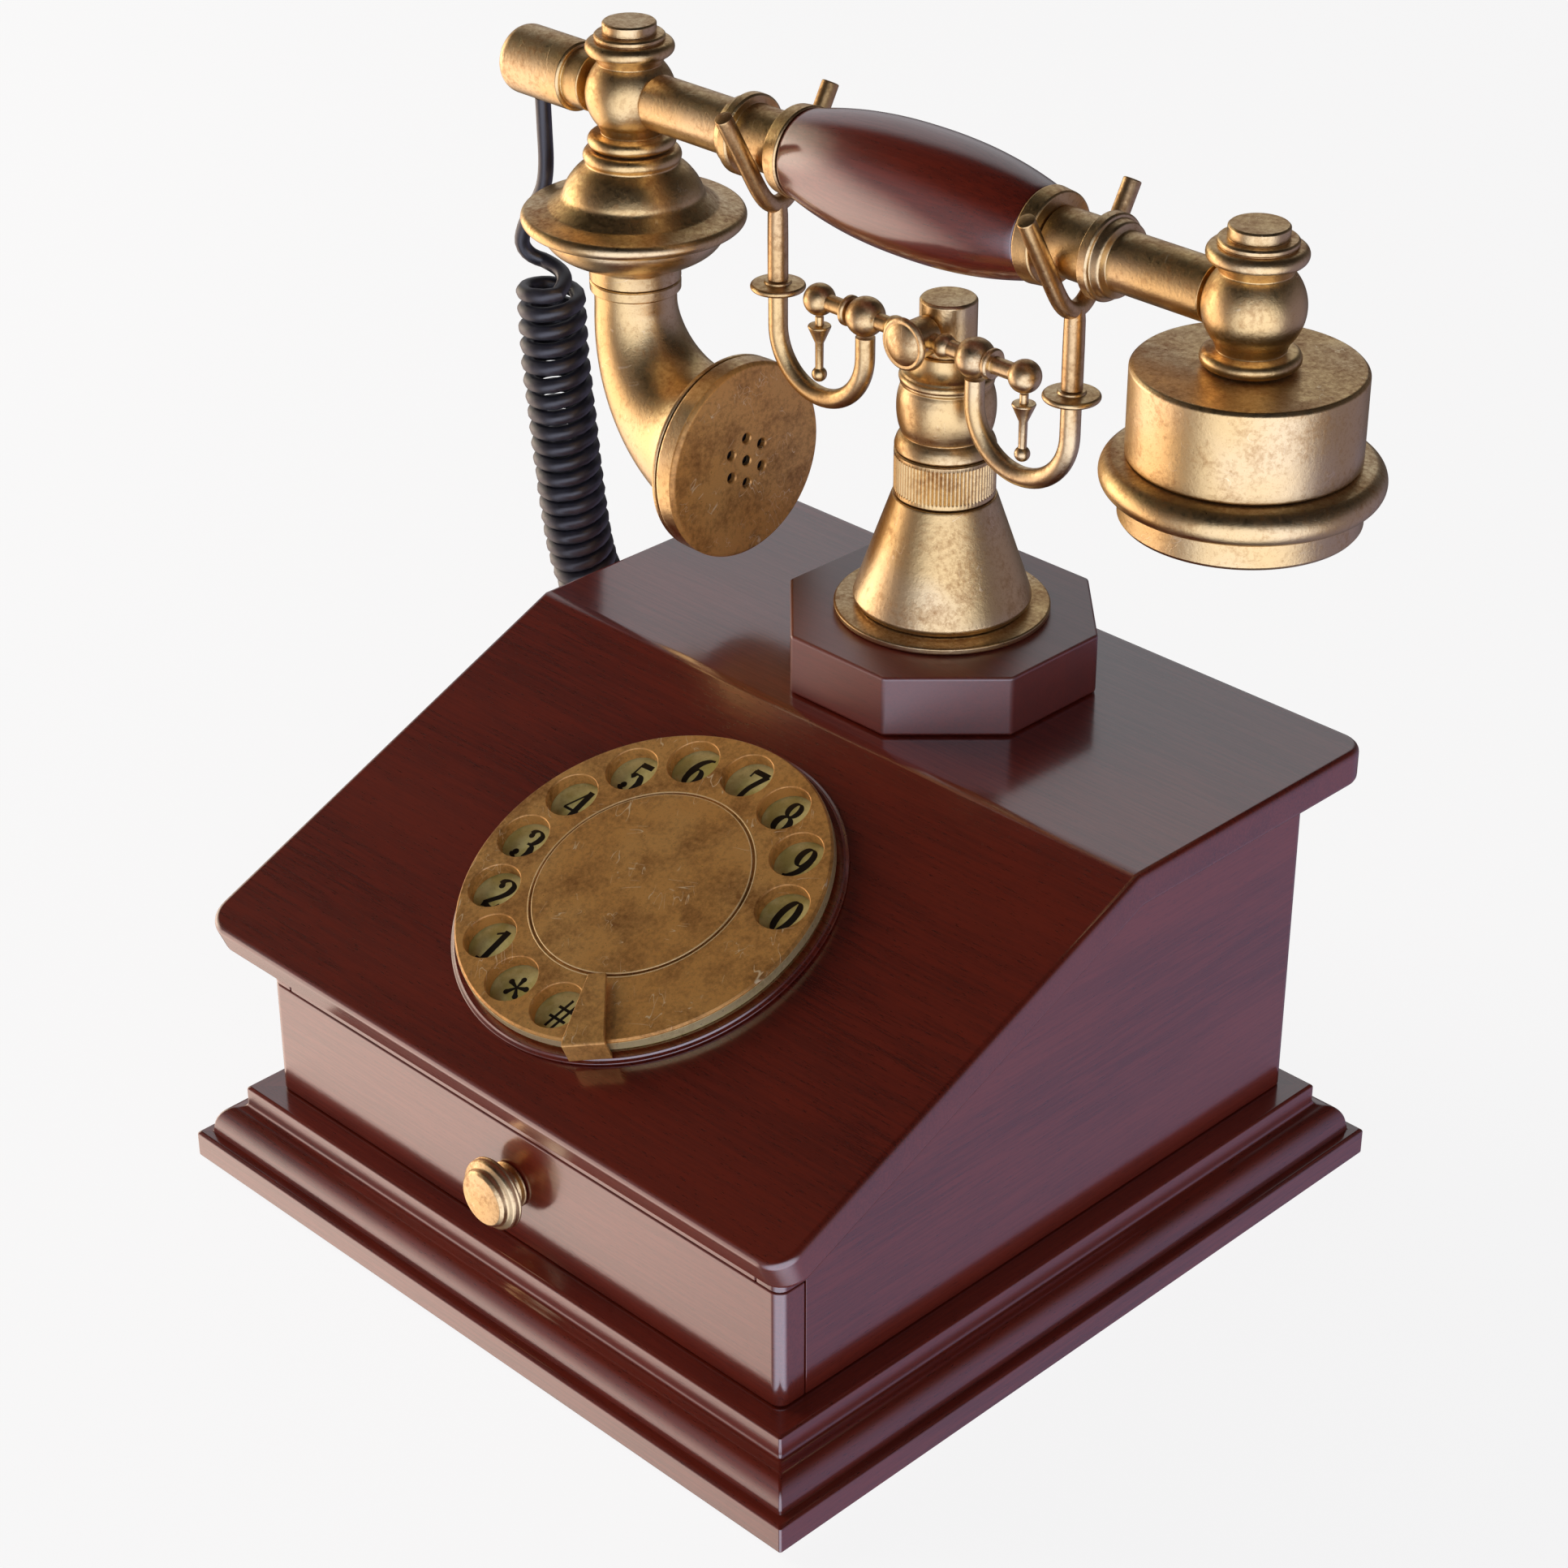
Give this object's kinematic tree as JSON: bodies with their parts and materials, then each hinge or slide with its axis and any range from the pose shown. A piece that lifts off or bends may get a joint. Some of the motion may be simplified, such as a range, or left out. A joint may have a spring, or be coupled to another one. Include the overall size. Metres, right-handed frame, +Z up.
{
  "type": "cradle telephone",
  "caption": "French-style desk telephone: slope-lidded wooden case with rotary dial and drawer, brass column and cradle, brass and wood handset on a curly cord.",
  "frame": {"origin": "centre of the felt pad's underside, on which the telephone rests", "axes": "+Z is up, the dial and the drawer face -Y, and the handset lies along X with its mouthpiece towards -X"},
  "size_m": [0.2577, 0.2, 0.253],
  "materials": {
    "mahogany": "dark mahogany stain under a glossy lacquer",
    "aged_brass": "aged satin brass with a mottled patina",
    "dial_brass": "dull bronzed brass, blotchy and lightly scratched",
    "number_plate_paint": "khaki enamel with black printed characters",
    "green_felt": "dense felt",
    "black_plastic": "semi-gloss",
    "plated_steel": "zinc plated",
    "circuit_board": "green solder mask"
  },
  "bodies": {
    "case": {"felt_pad": "green_felt", "base_board": "mahogany", "plinth_moulding": "mahogany", "cabinet_side_left": "mahogany", "cabinet_side_right": "mahogany", "cabinet_back": "mahogany", "front_rail": "mahogany", "dust_board": "mahogany", "lid": "mahogany", "pedestal_block": "mahogany", "drawer_runner_left": "mahogany", "drawer_runner_right": "mahogany", "dial_bezel": "mahogany", "number_plate": "number_plate_paint", "dial_mechanism": "plated_steel", "finger_stop": "aged_brass", "column_flange": "aged_brass", "column_cone": "aged_brass", "knurled_ring": "aged_brass", "column_barrel": "aged_brass", "hook_switch": "black_plastic", "circuit_board": "circuit_board", "ringer": "plated_steel", "line_jack": "black_plastic", "cord_grommet": "black_plastic", "cord_lead": "black_plastic", "cord_coil": "black_plastic", "cord_tail": "black_plastic"},
    "drawer": {"drawer_front": "mahogany", "drawer_tray": "mahogany", "drawer_knob": "aged_brass"},
    "dial": {"finger_wheel": "dial_brass", "dial_centre_disc": "dial_brass", "dial_shaft": "plated_steel"},
    "cradle": {"plunger": "aged_brass", "tee_stub": "aged_brass", "crossbar": "aged_brass", "pendant_left": "aged_brass", "pendant_right": "aged_brass", "arm_left": "aged_brass", "arm_right": "aged_brass", "arm_flange_left": "aged_brass", "arm_flange_right": "aged_brass", "fork_left": "aged_brass", "fork_right": "aged_brass"},
    "handset": {"handset_end_cap": "aged_brass", "handset_ball_left": "aged_brass", "handset_ball_right": "aged_brass", "handset_tube_left": "aged_brass", "handset_tube_right": "aged_brass", "grip_ferrule_left": "aged_brass", "grip_ferrule_right": "aged_brass", "grip": "mahogany", "mouthpiece_bell": "aged_brass", "mouthpiece_horn": "aged_brass", "mouthpiece_disc": "aged_brass", "transmitter_capsule": "black_plastic", "ear_cup": "aged_brass", "ear_cover": "aged_brass", "receiver_capsule": "black_plastic"}
  },
  "joints": [
    {"name": "drawer_slide", "type": "slide", "parent": "case", "child": "drawer", "axis": [0, -1, 0], "range_m": [0, 0.11]},
    {"name": "dial_turn", "type": "hinge", "parent": "case", "child": "dial", "pos_m": [0, -0.04118, 0.09235], "axis": [0, -0.3931, 0.9195], "range_deg": [-340, 0], "stiffness_Nm_per_rad": 0.004, "springref_deg": 57.3},
    {"name": "cradle_rise", "type": "slide", "parent": "case", "child": "cradle", "axis": [0, 0, 1], "range_m": [0, 0.004]},
    {"name": "handset_lift", "type": "slide", "parent": "case", "child": "handset", "axis": [0, 0, 1], "range_m": [0, 0.14]}
  ],
  "couplings": [
    {"joint": "cradle_rise", "follows": "handset_lift", "ratio": 0.028}
  ]
}
